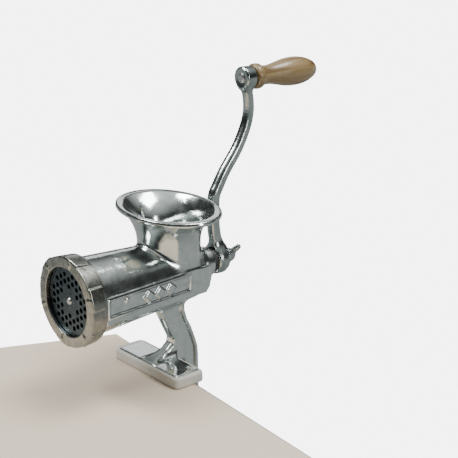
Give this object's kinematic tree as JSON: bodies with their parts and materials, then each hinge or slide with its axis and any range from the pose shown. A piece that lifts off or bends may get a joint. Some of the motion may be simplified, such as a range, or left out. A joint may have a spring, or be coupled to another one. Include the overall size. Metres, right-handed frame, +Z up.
{
  "type": "hand crank meat grinder",
  "caption": "Table clamp meat grinder in tinned cast iron: oval hopper, screw-fed barrel, perforated plate under a ring nut, and a curved crank with a turned wooden grip.",
  "frame": {"origin": "middle of the jaw pad's underside, on the table top", "axes": "+Z up; -Y is the front, where the cutter plate faces; +Y is the crank's end; +X is the right-hand side seen from the front's left, across the barrel"},
  "size_m": [0.136, 0.3394, 0.4583],
  "materials": {
    "tinned_iron": "bright hot-dipped tin, slightly wavy, mirror-like",
    "ring_tinned": "tinned, with a duller machined face",
    "plate_steel": "dark ground steel",
    "bright_steel": "bright drawn steel",
    "black_nylon": "matte black",
    "varnished_wood": "varnished hardwood, tan with brown streaks",
    "pad_plastic": "pale warm grey, matte"
  },
  "bodies": {
    "housing": {"body_casting": "tinned_iron", "plate_key": "bright_steel", "jaw_pad": "pad_plastic"},
    "rotor": {"auger": "tinned_iron", "auger_stud": "bright_steel", "stud_pin": "bright_steel", "knife": "bright_steel", "thrust_washer": "black_nylon", "crank_arm": "tinned_iron", "grip_spindle": "bright_steel", "grip_washer": "bright_steel", "grip_end_washer": "bright_steel"},
    "grip_body": {"grip": "varnished_wood"},
    "plate_carriage": {"cutter_plate": "plate_steel"},
    "ring_body": {"ring_nut": "ring_tinned"},
    "screw_carriage": {"crank_screw_washer": "bright_steel"},
    "wing_screw": {"crank_screw": "tinned_iron"},
    "disc_body": {"clamp_disc": "bright_steel"},
    "spindle_body": {"clamp_spindle": "bright_steel", "disc_rivet": "bright_steel"},
    "bar_body": {"tommy_bar": "bright_steel", "tommy_knob_left": "bright_steel", "tommy_knob_right": "bright_steel"}
  },
  "joints": [
    {"name": "crank_turn", "type": "hinge", "parent": "housing", "child": "rotor", "pos_m": [0, 0, 0.1085], "axis": [0, 1, 0], "continuous": true},
    {"name": "grip_spin", "type": "hinge", "parent": "rotor", "child": "grip_body", "pos_m": [0, 0.124, 0.305], "axis": [0, 0.999, -0.0454], "continuous": true},
    {"name": "plate_travel", "type": "slide", "parent": "housing", "child": "plate_carriage", "axis": [0, -1, 0], "range_m": [0, 0.0076]},
    {"name": "ring_turn", "type": "hinge", "parent": "plate_carriage", "child": "ring_body", "pos_m": [0, 0, 0.1085], "axis": [0, -1, 0], "range_deg": [0, 900]},
    {"name": "screw_travel", "type": "slide", "parent": "rotor", "child": "screw_carriage", "axis": [0, 1, 0], "range_m": [0, 0.01]},
    {"name": "screw_turn", "type": "hinge", "parent": "screw_carriage", "child": "wing_screw", "pos_m": [0, 0, 0.1085], "axis": [0, 1, 0], "range_deg": [0, 2880]},
    {"name": "clamp_travel", "type": "slide", "parent": "housing", "child": "disc_body", "axis": [0, 0, 1], "range_m": [-0.0241, 0.0261]},
    {"name": "clamp_turn", "type": "hinge", "parent": "disc_body", "child": "spindle_body", "pos_m": [0, 0, -0.08], "axis": [0, 0, 1], "range_deg": [-2880, 3120]},
    {"name": "bar_slide", "type": "slide", "parent": "spindle_body", "child": "bar_body", "axis": [1, 0, 0], "range_m": [-0.025, 0.025]}
  ],
  "couplings": [
    {"joint": "plate_travel", "follows": "ring_turn", "m_per_rad": 0.00047746},
    {"joint": "screw_turn", "follows": "screw_travel", "rad_per_m": 5026.5},
    {"joint": "clamp_travel", "follows": "clamp_turn", "m_per_rad": 0.00047746}
  ]
}
